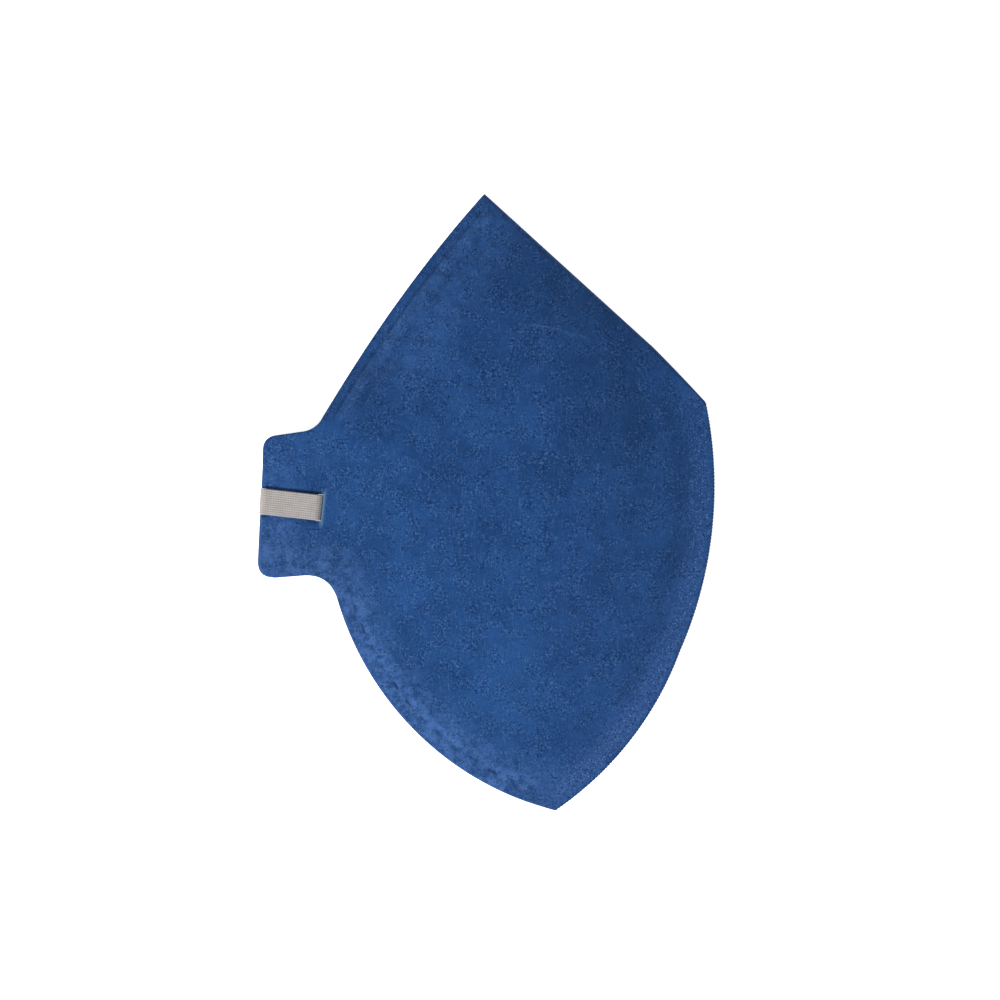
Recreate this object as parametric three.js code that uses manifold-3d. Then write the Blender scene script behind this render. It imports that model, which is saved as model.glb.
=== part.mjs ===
// A fold-flat respirator mask, folded in half along its nose line and lying on its far half.
// One laminate blank makes both halves. They are joined by the fold over the nose and by the welded
// seam from the front corner down to the chin, and they are open along the face edge, where each half
// has a square tab with a slit. A welded channel along the brow holds the nose clip, which is sealed in.
// A flat elastic head strap is anchored in the near tab's slit, crosses that tab, turns round the edges
// of both tabs and runs under the mask. There it doubles back, and it ends in the far tab's slit.
// Millimetres. +Z is up, +Y points to the nose and +X to the front seam.
// The origin is on the surface that the mask lies on, under the middle of its bounding box.

import * as THREE from "three";
import { mergeVertices } from "three/addons/utils/BufferGeometryUtils.js";
import Module from "manifold-3d";

const wasm = await Module();
wasm.setup();

const point = (x, y) => new THREE.Vector2(x, y);

// --- Driving dimensions ---

const LAMINATE = 1.4; // one wall: cover web, filter and inner web together
const SEAM_WIDTH = 6.2; // welded band down the front
const SEAM_THICKNESS = 1.3; // both halves pressed together in the band
const CROWN_GAP = 8; // widest gap between the halves, well inside the mask
const EDGE_GAP = 4.8; // gap between the halves at the face edge
const STRAP_WIDTH = 6.7;
const STRAP_THICKNESS = 0.9;
const STRAP_END = 8; // strap inside the mask past each slit
const CLEARANCE = 0.3; // between the strap, itself and the walls

// Corners of the outline, seen from above.
const NOSE = point(-0.5, 80.15);
const FOLD_BEND = point(43.4, 40.25);
const FRONT = point(57.1, 25.95);
const SEAM_BELLY = point(50.3, -38.85);
const CHIN = point(18, -80.15);
const CHEEK = point(-38.6, -24.65);
const TAB = {
  topInner: point(-44.5, 18.75),
  topOuter: point(-57.7, 16.85),
  bottomOuter: point(-59.6, -19.85),
  bottomInner: point(-40.8, -18.45),
};

// How far the middle of each curved side stands outside the straight line between its ends.
const BOW = { brow: 1.9, cheek: 10.5, chinSeam: 4.1, frontSeam: 5.1, foldBend: 0.1 };

// How far from its tip the rounding of each of the tab's corners starts.
const ROUNDING = { topInner: 2.9, topOuter: 3.3, bottomOuter: 4.9 };

// Straight pieces that each curve is divided into.
const PIECES = { face: 76, seam: 28, fold: 18, strapTurn: 3 };

// The nose clip's channel: a ridge between two welds along the brow, from the nose down to this height.
const CLIP = { inset: 2.7, width: 3.9, rise: 0.4, slope: 0.7, lowEnd: 22 };

// --- Outline ---

// Continues a path to its end along an arc that stands `bow` outside the straight line.
function bowTo(path, end, bow) {
  const start = path.currentPoint.clone();
  const chord = end.clone().sub(start);
  const radius = (chord.lengthSq() / 4 + bow * bow) / (2 * bow);
  const inward = point(-chord.y, chord.x).setLength(radius - bow);
  const centre = start.clone().add(end).multiplyScalar(0.5).add(inward);
  const angle = (p) => Math.atan2(p.y - centre.y, p.x - centre.x);
  path.absarc(centre.x, centre.y, radius, angle(start), angle(end), false);
}

// Continues a path towards a corner, straight or bowed, and rounds that corner into the direction of `next`.
function roundTo(path, corner, next, inset, bow = 0) {
  const before = path.currentPoint.clone().sub(corner).setLength(inset).add(corner);
  const after = next.clone().sub(corner).setLength(inset).add(corner);
  if (bow) bowTo(path, before, bow);
  else path.lineTo(before.x, before.y);
  path.quadraticCurveTo(corner.x, corner.y, after.x, after.y);
}

// The free edge of the far half, from the nose round the tab to the chin.
function faceEdge() {
  const path = new THREE.Path().moveTo(NOSE.x, NOSE.y);
  roundTo(path, TAB.topInner, TAB.topOuter, ROUNDING.topInner, BOW.brow);
  roundTo(path, TAB.topOuter, TAB.bottomOuter, ROUNDING.topOuter);
  roundTo(path, TAB.bottomOuter, TAB.bottomInner, ROUNDING.bottomOuter);
  roundTo(path, TAB.bottomInner, CHEEK, CHEEK.distanceTo(TAB.bottomInner));
  bowTo(path, CHIN, BOW.cheek);
  return path.getSpacedPoints(PIECES.face);
}

// The shared edges: the welded seam up the front, and the fold over the nose.
function seamEdge() {
  const path = new THREE.Path().moveTo(CHIN.x, CHIN.y);
  bowTo(path, SEAM_BELLY, BOW.chinSeam);
  bowTo(path, FRONT, BOW.frontSeam);
  return path.getSpacedPoints(PIECES.seam);
}

function foldEdge() {
  const path = new THREE.Path().moveTo(FRONT.x, FRONT.y);
  bowTo(path, FOLD_BEND, BOW.foldBend);
  path.lineTo(NOSE.x, NOSE.y);
  return path.getSpacedPoints(PIECES.fold);
}

const FACE = faceEdge();
const SEAM = seamEdge();
const FOLD = foldEdge();

// The whole outline, counter-clockwise, without the repeated corners.
const OUTLINE = [FACE, SEAM, FOLD].flatMap((side) => side.slice(0, -1));
const CLOSED_OUTLINE = [...OUTLINE, OUTLINE[0]];

// --- Heights ---

const clamp = THREE.MathUtils.clamp;
const smooth = (t) => THREE.MathUtils.smoothstep(t, 0, 1);

function distanceTo(line, p) {
  let best = Infinity;
  for (let i = 1; i < line.length; i++) {
    const step = line[i].clone().sub(line[i - 1]);
    const along = clamp(p.clone().sub(line[i - 1]).dot(step) / step.lengthSq(), 0, 1);
    best = Math.min(best, line[i - 1].clone().addScaledVector(step, along).distanceTo(p));
  }
  return best;
}

// The strap lies in one upright plane. `along` runs from the wrap round the tabs, `across` is square to it.
const STRAP_START = point(-58.65, 0.35);
const STRAP_ANGLE = THREE.MathUtils.degToRad(-6.4);
const STRAP_SLIT = 15.7; // from the wrap to the slits
const STRAP_REACH = 97; // from the wrap to where the strap doubles back
const STRAP_LEVEL = STRAP_THICKNESS + CLEARANCE; // each layer of strap takes this height
const STRAP_LIFT = 2 * STRAP_LEVEL; // two layers of strap under the far half

function strapFrame(p) {
  const local = p.clone().sub(STRAP_START).rotateAround(point(0, 0), -STRAP_ANGLE);
  return { along: local.x, across: Math.abs(local.y) };
}

// Where the cloth shows that the strap is there: on it up to `end`, and fading over `aside` and `beyond`.
const DRAPE = {
  farHalf: { end: STRAP_REACH + 4, aside: 26, beyond: 9 },
  tabs: { end: STRAP_SLIT + 2, aside: 20, beyond: 26 },
  nearHalf: { end: STRAP_REACH, aside: 60, beyond: 60 },
};
const DRAPE_LEVEL = 1; // the cloth stays level this far past the strap's sides

// Share by which a drape holds at p: 1 on the strap, and 0 well away from it.
function nearStrap(p, { end, aside, beyond }) {
  const { along, across } = strapFrame(p);
  const toSide = Math.max(0, across - STRAP_WIDTH / 2 - DRAPE_LEVEL) / aside;
  const toEnd = Math.max(0, along - end) / beyond;
  return 1 - smooth(Math.hypot(toSide, toEnd));
}

const FOLD_RUN = 28; // the halves open over this distance from the fold
const SEAM_RUN = 30; // and from the seam
const CROWN_INSET = 38; // and further, from the face edge to where the gap is widest
const WALL_RUN = 2.5; // the pressed walls swell to their full thickness over this distance
const FOLD_FLAT = 0.1; // half the height of the flat on the outside of the fold

// How open the halves are next to the fold and the seam: 0 where they meet and 1 from `run` away.
const opening = (distance, run) => 1 - (1 - clamp(distance / run, 0, 1)) ** 2;
const foldOpening = (p) => opening(distanceTo(FOLD, p), FOLD_RUN);
const seamOpening = (p) => opening(distanceTo(SEAM, p) - SEAM_WIDTH, SEAM_RUN);

// Underside of the far half: flat on the surface, and lifted where the strap lies beneath it.
const floorHeight = (p) => STRAP_LIFT * nearStrap(p, DRAPE.farHalf);

// Both walls together: pressed thin in the seam's band, and full just inside it.
function wallsHeight(p) {
  const inside = smooth((distanceTo(SEAM, p) - SEAM_WIDTH) / WALL_RUN);
  return THREE.MathUtils.lerp(SEAM_THICKNESS, 2 * LAMINATE, inside);
}

// Top of the pocket, which is the near half's inner face.
function pocketTop(p) {
  const inland = smooth(distanceTo(FACE, p) / CROWN_INSET);
  const loose = THREE.MathUtils.lerp(EDGE_GAP, CROWN_GAP, inland);
  const tied = 2 * STRAP_LEVEL + CLEARANCE; // the strap's two ends lie between the tabs
  const gap = THREE.MathUtils.lerp(loose, tied, nearStrap(p, DRAPE.tabs));
  const lift = STRAP_LIFT * nearStrap(p, DRAPE.nearHalf);
  return LAMINATE + (gap + lift) * foldOpening(p) * seamOpening(p);
}

// The round outside of the fold: how far each face turns in towards the other at the fold's edge.
function foldRoll(p) {
  const radius = wallsHeight(p) / 2 - FOLD_FLAT;
  const inset = radius - Math.min(distanceTo(FOLD, p), radius);
  return radius - Math.sqrt(radius * radius - inset * inset);
}

const farBottom = (p) => floorHeight(p) + foldRoll(p);
const nearTop = (p) => pocketTop(p) + wallsHeight(p) - LAMINATE - foldRoll(p);

// --- Solids ---

const MIDDLE = point(-18, 0); // every point of the outline is in sight of it
const RIM_RINGS = [0.5, 1.5, SEAM_WIDTH, SEAM_WIDTH + WALL_RUN]; // distances in from the edge
const INNER_RINGS = [0.84, 0.68, 0.51, 0.34, 0.17]; // shares of what is left of each ray
const POCKET_STOP = SEAM_WIDTH + 2; // the hollow stops this far short of the seam's edge
const POCKET_PAST = 8; // and runs out this far past the face edge
const CUT_FROM = -5; // cutters through both tabs start below the mask
const CUT_HEIGHT = 30; // and end above it

function solid(positions, indices) {
  const vertProperties = new Float32Array(positions);
  const triVerts = new Uint32Array(indices);
  return new wasm.Manifold(new wasm.Mesh({ numProp: 3, vertProperties, triVerts }));
}

// A closed solid between two height functions. Each ray is a list of points from the rim to near the middle.
function lens(rays, top, bottom) {
  const rings = rays[0].length;
  const positions = [];
  for (const height of [top, bottom]) {
    for (const p of [...rays.flat(), MIDDLE]) positions.push(p.x, p.y, height(p));
  }
  const middle = rays.length * rings;
  const under = middle + 1; // the bottom's vertices follow the top's
  const indices = [];
  rays.forEach((_, i) => {
    const here = i * rings;
    const next = ((i + 1) % rays.length) * rings;
    const faces = [[here + rings - 1, next + rings - 1, middle]];
    for (let k = 0; k + 1 < rings; k++) {
      faces.push([here + k, next + k, next + k + 1], [here + k, next + k + 1, here + k + 1]);
    }
    for (const [a, b, c] of faces) indices.push(a, b, c, a + under, c + under, b + under);
    indices.push(here + under, next + under, next, here + under, next, here);
  });
  return solid(positions, indices);
}

// The place on the way from a point of the rim to the middle that is `depth` in from the whole outline.
function insetFrom(rim, depth) {
  const halvings = 16;
  let low = 0;
  let high = 0.7; // every band lies outside this share of the way
  for (let i = 0; i < halvings; i++) {
    const share = (low + high) / 2;
    if (distanceTo(CLOSED_OUTLINE, rim.clone().lerp(MIDDLE, share)) < depth) low = share;
    else high = share;
  }
  return rim.clone().lerp(MIDDLE, high);
}

// One ray for each point of the outline. Its rings keep their distance to the edge, so that bands stay even.
const RAYS = OUTLINE.map((rim) => {
  const bands = RIM_RINGS.map((depth) => insetFrom(rim, depth));
  const inner = INNER_RINGS.map((share) => MIDDLE.clone().lerp(bands.at(-1), share));
  return [rim, ...bands, ...inner];
});

// The hollow between the halves. It runs out past the face edge and stops short of the fold and the seam.
function pocket() {
  const fine = 0.1;
  const isHollow = (p) => distanceTo(FOLD, p) >= LAMINATE && distanceTo(SEAM, p) >= POCKET_STOP;
  const rays = RAYS.map((ray) => {
    const outward = ray[0].clone().sub(MIDDLE).setLength(POCKET_PAST);
    const points = [ray[0].clone().add(outward), ...ray];
    let first = points.length - 1;
    while (first > 0 && isHollow(points[first - 1])) first--;
    if (first === 0) return points;
    const start = points[first].clone();
    const step = points[first - 1].clone().sub(start).setLength(fine);
    while (isHollow(start.clone().add(step))) start.add(step);
    return points.map((p, k) => (k < first ? start.clone().lerp(points[first], k / first) : p));
  });
  return lens(rays, pocketTop, (p) => floorHeight(p) + LAMINATE);
}

function fromGeometry(geometry) {
  const bare = geometry.clone();
  bare.deleteAttribute("normal");
  bare.deleteAttribute("uv");
  const merged = mergeVertices(bare);
  return solid(merged.attributes.position.array, merged.index.array);
}

function toGeometry(manifold) {
  const mesh = manifold.getMesh();
  const geometry = new THREE.BufferGeometry();
  geometry.setAttribute("position", new THREE.BufferAttribute(mesh.vertProperties, 3));
  geometry.setIndex(new THREE.BufferAttribute(mesh.triVerts, 1));
  geometry.computeVertexNormals();
  return geometry;
}

// A cutter for the slit in both tabs: as wide as the strap needs in the middle, and pointed at its ends.
function slitCutter() {
  const turnSlack = 0.18; // more room on the lip that the strap turns round
  const sideSlack = 0.1; // and at the strap's sides
  const points = { low: 1.2, high: 2.4, aside: 0.1 }; // how far the pointed ends run past the strap
  const left = STRAP_THICKNESS / 2 + CLEARANCE + turnSlack;
  const right = STRAP_THICKNESS / 2 + CLEARANCE;
  const half = STRAP_WIDTH / 2 + CLEARANCE + sideSlack;
  const shape = new THREE.Shape([
    point(-points.aside, -half - points.low),
    point(right, -half),
    point(right, half),
    point(-points.aside, half + points.high),
    point(-left, half),
    point(-left, -half),
  ]);
  const geometry = new THREE.ExtrudeGeometry(shape, { depth: CUT_HEIGHT, bevelEnabled: false });
  geometry.translate(STRAP_SLIT, 0, CUT_FROM);
  geometry.rotateZ(STRAP_ANGLE);
  geometry.translate(STRAP_START.x, STRAP_START.y, 0);
  return fromGeometry(geometry);
}

// The strap's turn is let into the edges of both tabs, flush with them.
function notchCutter() {
  const width = STRAP_WIDTH + 2 * CLEARANCE;
  const depth = STRAP_THICKNESS + CLEARANCE;
  const geometry = new THREE.BoxGeometry(2 * depth, width, CUT_HEIGHT);
  geometry.rotateZ(STRAP_ANGLE);
  geometry.translate(STRAP_START.x, STRAP_START.y, CUT_HEIGHT / 2 + CUT_FROM);
  return fromGeometry(geometry);
}

// The raised part of the nose clip's channel, rooted in the near half's wall.
function clipChannel() {
  const root = -0.6 * LAMINATE;
  const skirt = -0.3; // the slopes run on into the wall
  const { inset, width, rise, slope } = CLIP;
  const section = [
    point(inset, root),
    point(inset + width, root),
    point(inset + width, skirt),
    point(inset + width - slope, rise),
    point(inset + slope, rise),
    point(inset, skirt),
  ];
  const count = FACE.filter((p) => p.y > CLIP.lowEnd).length - 1;
  const positions = [];
  for (let i = 1; i <= count; i++) {
    const along = FACE[i + 1].clone().sub(FACE[i - 1]).normalize();
    const inward = point(-along.y, along.x);
    for (const { x: depth, y: height } of section) {
      const place = FACE[i].clone().addScaledVector(inward, depth);
      positions.push(place.x, place.y, nearTop(place) + height);
    }
  }
  const size = section.length;
  const last = (count - 1) * size;
  const indices = [];
  for (let k = 0; k < size; k++) {
    const beside = (k + 1) % size;
    for (let row = 0; row < last; row += size) {
      indices.push(row + k, row + beside, row + size + beside, row + k, row + size + beside, row + size + k);
    }
  }
  for (let k = 1; k + 1 < size; k++) indices.push(0, k + 1, k, last, last + k, last + k + 1);
  return solid(positions, indices);
}

function maskShell() {
  const cloth = lens(RAYS, nearTop, farBottom).add(clipChannel());
  const cutters = [pocket(), slitCutter(), notchCutter()];
  return toGeometry(cutters.reduce((body, cutter) => body.subtract(cutter), cloth));
}

// --- Head strap ---

// The middle of the strap's thickness, in its own plane: x is along the strap and y is up.
function strapRoute() {
  const floor = STRAP_THICKNESS / 2;
  const doubled = floor + STRAP_LEVEL;
  const farEnd = STRAP_LIFT + LAMINATE + CLEARANCE + floor;
  const nearEnd = farEnd + STRAP_LEVEL;
  const over = nearEnd + 2 * (CLEARANCE + floor) + LAMINATE;
  const wrap = STRAP_THICKNESS / 2; // the strap's middle at the edges of the tabs
  const corner = 1; // radius of the turns at the edges of the tabs
  const bend = 0.8; // radius of the turns through the far slit
  const loop = (over - nearEnd) / 2; // radius round the lip of the near slit
  const quarter = Math.PI / 2;
  const path = new THREE.Path().moveTo(STRAP_SLIT - STRAP_END, nearEnd);
  path.absarc(STRAP_SLIT - loop, nearEnd + loop, loop, -quarter, quarter, false);
  path.absarc(wrap + corner, over - corner, corner, quarter, 2 * quarter, false);
  path.absarc(wrap + corner, floor + corner, corner, 2 * quarter, 3 * quarter, false);
  path.absarc(STRAP_REACH, (floor + doubled) / 2, STRAP_LEVEL / 2, -quarter, quarter, false);
  path.absarc(STRAP_SLIT + bend, doubled + bend, bend, 3 * quarter, 2 * quarter, true);
  path.absarc(STRAP_SLIT - bend, farEnd - bend, bend, 0, quarter, false);
  path.lineTo(STRAP_SLIT - STRAP_END, farEnd);
  return path.getPoints(PIECES.strapTurn);
}

// The route given the strap's thickness, and then its width.
function headStrap() {
  const route = strapRoute();
  const sides = [1, -1].map((side) =>
    route.map((p, i) => {
      const ahead = route[Math.min(i + 1, route.length - 1)];
      const behind = route[Math.max(i - 1, 0)];
      const toNext = ahead.clone().sub(p).normalize();
      const fromLast = p.clone().sub(behind).normalize();
      const tangent = toNext.add(fromLast).normalize();
      const normal = point(-tangent.y, tangent.x);
      return p.clone().addScaledVector(normal, (side * STRAP_THICKNESS) / 2);
    }),
  );
  const shape = new THREE.Shape([...sides[0], ...sides[1].reverse()]);
  const geometry = new THREE.ExtrudeGeometry(shape, { depth: STRAP_WIDTH, bevelEnabled: false });
  geometry.translate(0, 0, -STRAP_WIDTH / 2);
  geometry.rotateX(Math.PI / 2);
  geometry.rotateZ(STRAP_ANGLE);
  geometry.translate(STRAP_START.x, STRAP_START.y, 0);
  return geometry;
}

// --- Assembly ---

const MATERIALS = {
  laminate: new THREE.MeshStandardMaterial({ color: 0x284b7e, roughness: 0.95, metalness: 0 }),
  elastic: new THREE.MeshStandardMaterial({ color: 0xafa8a4, roughness: 0.85, metalness: 0 }),
};

const mask = new THREE.Group();

function addPart(name, geometry, material) {
  const mesh = new THREE.Mesh(geometry, material);
  mesh.name = name;
  mask.add(mesh);
}

addPart("mask_shell", maskShell(), MATERIALS.laminate);
addPart("head_strap", headStrap(), MATERIALS.elastic);

// The origin goes under the middle of the whole mask.
const middle = new THREE.Box3().setFromObject(mask).getCenter(new THREE.Vector3());
mask.position.set(-middle.x, -middle.y, 0);

export default mask;
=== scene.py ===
import math

import bmesh
import bpy
import numpy as np
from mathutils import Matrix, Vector, noise
from mathutils.geometry import delaunay_2d_cdt
from mathutils.kdtree import KDTree


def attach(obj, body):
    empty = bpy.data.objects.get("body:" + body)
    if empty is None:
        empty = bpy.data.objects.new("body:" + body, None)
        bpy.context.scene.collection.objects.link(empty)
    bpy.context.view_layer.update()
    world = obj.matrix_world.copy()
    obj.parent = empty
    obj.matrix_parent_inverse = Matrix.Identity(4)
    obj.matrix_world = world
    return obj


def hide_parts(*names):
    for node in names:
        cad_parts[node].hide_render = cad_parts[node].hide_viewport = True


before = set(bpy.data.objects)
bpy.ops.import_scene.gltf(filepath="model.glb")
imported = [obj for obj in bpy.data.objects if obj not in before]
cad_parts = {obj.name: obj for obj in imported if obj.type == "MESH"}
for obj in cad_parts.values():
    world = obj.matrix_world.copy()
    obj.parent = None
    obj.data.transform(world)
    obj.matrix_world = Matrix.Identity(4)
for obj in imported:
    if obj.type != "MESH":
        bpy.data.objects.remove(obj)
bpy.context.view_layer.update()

# The mask lies folded in half on its far half: +Z up, +Y to the nose, +X to the front seam.
# Both halves are cut from one laminate. They are modelled as two walls that share the fold and the seam,
# and are then joined into one body. The elastic head strap is a separate piece.

MM = 0.001


def point(x, y):
    return np.array([x, y]) * MM


# --- Sizes, the same as the solids' ---

LAMINATE = 1.4 * MM  # one wall
SEAM_WIDTH = 6.2 * MM
SEAM_THICKNESS = 1.3 * MM  # both walls pressed together in the seam
CROWN_GAP = 8 * MM  # between the walls in the middle of the mask, without the strap's lift
EDGE_GAP = 4.8 * MM  # and at the face side
WALL_RUN = 13 * MM  # the walls reach their full thickness this far in from the seam
STRAP_WIDTH = 6.7 * MM
STRAP_THICKNESS = 0.9 * MM
STRAP_END = 8 * MM  # each end's length inside the mask

NOSE = point(-0.5, 80.15)
FOLD_BEND = point(43.4, 40.25)
FRONT = point(57.1, 25.95)
SEAM_BELLY = point(50.3, -38.85)
CHIN = point(18, -80.15)
CHEEK = point(-38.6, -24.65)
TAB_TOP_INNER = point(-44.5, 18.75)
TAB_TOP_OUTER = point(-57.7, 16.85)
TAB_BOTTOM_OUTER = point(-59.6, -19.85)
TAB_BOTTOM_INNER = point(-40.8, -18.45)
NEAR_TAB_SETBACK = point(0.9, 0)  # the near tab's lower corner stops short of the far tab's

# How far from its tip each rounded corner starts.
BROW_ROUND = 2.9 * MM
TAB_TOP_ROUND = 3.3 * MM
TAB_BOTTOM_ROUND = 4.9 * MM

# How far the middle of each curved side stands outside the straight line between its ends.
BOW = {
    "brow": 1.9 * MM,
    "cheek": 10.5 * MM,
    "chin_seam": 4.1 * MM,
    "front_seam": 5.1 * MM,
    "fold_bend": 0.1 * MM,
}

# The strap's own frame starts at the tab's edge and runs along the strap.
STRAP_START = point(-58.65, 0.35)
STRAP_ANGLE = math.radians(-6.4)
STRAP_SLIT = 15.7 * MM
STRAP_REACH = 97 * MM  # where it is doubled back under the mask

# The nose clip's channel: a ridge between two welds along the brow.
CLIP_INSET = 2.7 * MM
CLIP_WIDTH = 3.9 * MM
CLIP_END = 20 * MM  # how far down it reaches

# --- Sizes of what only shows here ---

EDGE_ROUND = 0.35 * MM  # radius of the cut edges
WALL_OVERLAP = 0.15 * MM  # how far the walls run into each other where they are joined
CREASE = np.array([point(8.7, 46.2), point(15.5, 45.5), point(21.7, 43.8), point(26.9, 42.3)])  # a faint one

# How far from each edge the hollow takes to open.
SEAM_RUN = 35 * MM
FOLD_RUN = 28 * MM
CROWN_RUN = 38 * MM  # from EDGE_GAP to CROWN_GAP

DASH_INSET = 3.9 * MM  # the line of weld dashes along the cheek
DASH_PITCH = 5.9 * MM
DASH_SHIFT = 0.195  # of a pitch
DASH_LENGTH = 2.6 * MM
DASH_WIDTH = 0.36 * MM
DASH_DEPTH = 0.32 * MM
DOT_PITCH = 0.8 * MM  # the weld's dots in the seam
DOT_HEIGHT = 0.12 * MM
DOT_SWAY = 0.35 * MM
SEAM_TEETH = 0.12 * MM

TOUCH = 0.05 * MM  # between the strap, itself and the cloth
WRAP_BEND = 1 * MM  # radius of the strap's turns round the tabs' edges
WRAP_SKEW = math.tan(math.radians(3.3))  # the strap folds along the tab's edge, not square to itself
SLIT_BEND = 0.8 * MM  # radius of its turns through the far slit
STRAP_ROUND = 0.3 * MM  # radius of its own edges
STRAP_RIBS = 12
RIB_DEPTH = 0.035 * MM
STITCH = 0.62 * MM  # length of a knitted stitch

# How far beside the strap, and past its end, the cloth takes to come down from it.
FLOOR_DRAPE = (26 * MM, 9 * MM)  # the far half, over the strap under it
TAB_DRAPE = (20 * MM, 26 * MM)  # the near half, tied down at the tab
LIFT_DRAPE = (60 * MM, 60 * MM)  # the near half, lifted with the far one

# The steps of the meshes, first where they are plain and then where they need to be fine.
RIM_STEP = 0.3 * MM
NEAR_OUTER_STEPS = (0.8 * MM, 0.27 * MM)
NEAR_LINING_STEPS = (2 * MM, 1 * MM)
FAR_OUTER_STEPS = (1.1 * MM, 0.4 * MM)
FAR_LINING_STEPS = (2 * MM, 0.7 * MM)
STRAP_STEP = 0.45 * MM
POINTS_PER_RIB = 6
SLIVER = 0.0002 * MM  # shorter edges and thinner faces than this are left over from a cut
CUTTER_LOW, CUTTER_TOP = -1 * MM, 20 * MM  # below and above the whole mask


# --- Lines and outlines ---


def line(start, end):
    """Points from start up to, and without, end."""
    count = max(2, round(math.dist(start, end) / RIM_STEP))
    return start + (end - start) * np.linspace(0, 1, count, endpoint=False)[:, None]


def arc(start, end, bow):
    """As line(), along an arc that stands `bow` outside the straight line."""
    chord = end - start
    length = math.hypot(*chord)
    radius = (length**2 / 4 + bow**2) / (2 * bow)
    inward = np.array([-chord[1], chord[0]]) / length
    centre = (start + end) / 2 + inward * (radius - bow)
    first = math.atan2(*(start - centre)[::-1])
    turn = 2 * math.asin(length / (2 * radius))
    angles = first + turn * np.linspace(0, 1, round(turn * radius / RIM_STEP), endpoint=False)
    return centre + radius * np.column_stack([np.cos(angles), np.sin(angles)])


def rounded(before, tip, after, inset):
    """A rounded corner: where it starts, its points, and where it ends."""
    start = tip + (before - tip) / math.dist(before, tip) * inset
    end = tip + (after - tip) / math.dist(after, tip) * inset
    t = np.linspace(0, 1, round(1.6 * inset / RIM_STEP), endpoint=False)[:, None]
    return start, (1 - t) ** 2 * start + 2 * t * (1 - t) * tip + t**2 * end, end


def face_edge(setback):
    """A half's free edge, from the nose round the tab to the chin. `setback` moves the tab's lower corner."""
    low_corner = TAB_BOTTOM_OUTER + setback
    reach = math.dist(TAB_BOTTOM_INNER, CHEEK)
    a, brow, b = rounded(NOSE, TAB_TOP_INNER, TAB_TOP_OUTER, BROW_ROUND)
    c, top, d = rounded(TAB_TOP_INNER, TAB_TOP_OUTER, low_corner, TAB_TOP_ROUND)
    e, bottom, f = rounded(TAB_TOP_OUTER, low_corner, TAB_BOTTOM_INNER, TAB_BOTTOM_ROUND)
    g, cheek, h = rounded(low_corner, TAB_BOTTOM_INNER, CHEEK, reach)
    brow_side = [arc(NOSE, a, BOW["brow"]), brow]
    tab_side = [line(b, c), top, line(d, e), bottom, line(f, g), cheek]
    return np.vstack([*brow_side, *tab_side, arc(h, CHIN, BOW["cheek"]), CHIN])


FOLD = np.vstack([arc(FRONT, FOLD_BEND, BOW["fold_bend"]), line(FOLD_BEND, NOSE), NOSE])
SEAM = np.vstack([arc(CHIN, SEAM_BELLY, BOW["chin_seam"]), arc(SEAM_BELLY, FRONT, BOW["front_seam"]), FRONT])
SEAM_LENGTH = np.hypot(*np.diff(SEAM, axis=0).T).sum()
FAR_FACE = face_edge(point(0, 0))
NEAR_FACE = face_edge(NEAR_TAB_SETBACK)
FAR_RIM = np.vstack([FAR_FACE[:-1], SEAM[:-1], FOLD[:-1]])
NEAR_RIM = np.vstack([NEAR_FACE[:-1], SEAM[:-1], FOLD[:-1]])


# --- Heights ---


def smooth(t):
    t = np.clip(t, 0, 1)
    return t * t * (3 - 2 * t)


def lerp(a, b, t):
    return a + (b - a) * t


def distance_along(points, guide):
    """For each point, its distance to a line, and how far along the line the nearest place is."""
    steps = np.diff(guide, axis=0)
    lengths = np.hypot(*steps.T)
    begins = np.concatenate([[0], np.cumsum(lengths)[:-1]])
    tree = KDTree(len(guide))
    for index, (x, y) in enumerate(guide):
        tree.insert((x, y, 0), index)
    tree.balance()
    closest = np.array([tree.find((x, y, 0))[1] for x, y in points.tolist()])
    found = []
    for segment in (closest - 1, closest):
        segment = np.clip(segment, 0, len(steps) - 1)
        offset = points - guide[segment]
        share = np.clip((offset * steps[segment]).sum(1) / lengths[segment] ** 2, 0, 1)
        gap = np.hypot(*(offset - share[:, None] * steps[segment]).T)
        found.append((gap, begins[segment] + share * lengths[segment]))
    (gap, along), (other_gap, other_along) = found
    return np.minimum(gap, other_gap), np.where(gap < other_gap, along, other_along)


def noise_at(points, size, seed):
    """Smooth noise from about -1 to 1 with features of about `size`, the same each run."""
    return np.array([noise.noise(Vector((x / size, y / size, seed))) for x, y in points])


class Place:
    """Where points of one half lie against its edges."""

    def __init__(self, points, face):
        self.points = points
        self.to_face, self.along_face = distance_along(points, face)
        self.to_edge = distance_along(points, FAR_FACE)[0]
        self.to_seam, self.along_seam = distance_along(points, SEAM)
        self.to_fold = distance_along(points, FOLD)[0]


STRAP_LEVEL = STRAP_THICKNESS + TOUCH
STRAP_LIFT = 2 * STRAP_LEVEL


def in_strap_frame(points):
    offset = points - STRAP_START
    along = offset @ np.array([math.cos(STRAP_ANGLE), math.sin(STRAP_ANGLE)])
    across = offset @ np.array([-math.sin(STRAP_ANGLE), math.cos(STRAP_ANGLE)])
    return along, across


def near_strap(points, end, drape, end_drape):
    """1 on the strap up to `end`, and 0 from `drape` away from it."""
    along, across = in_strap_frame(points)
    aside = np.maximum(0, abs(across) - STRAP_WIDTH / 2 - 1 * MM) / drape
    beyond = np.maximum(0, along - end) / end_drape
    return 1 - smooth(np.hypot(aside, beyond))


def opening(distance, run):
    """From 0 at an edge to 1 at the end of its run, steep at first."""
    return 1 - (1 - np.clip(distance / run, 0, 1)) ** 2


def floor_height(place):
    return STRAP_LIFT * near_strap(place.points, STRAP_REACH + 4 * MM, *FLOOR_DRAPE)


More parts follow.
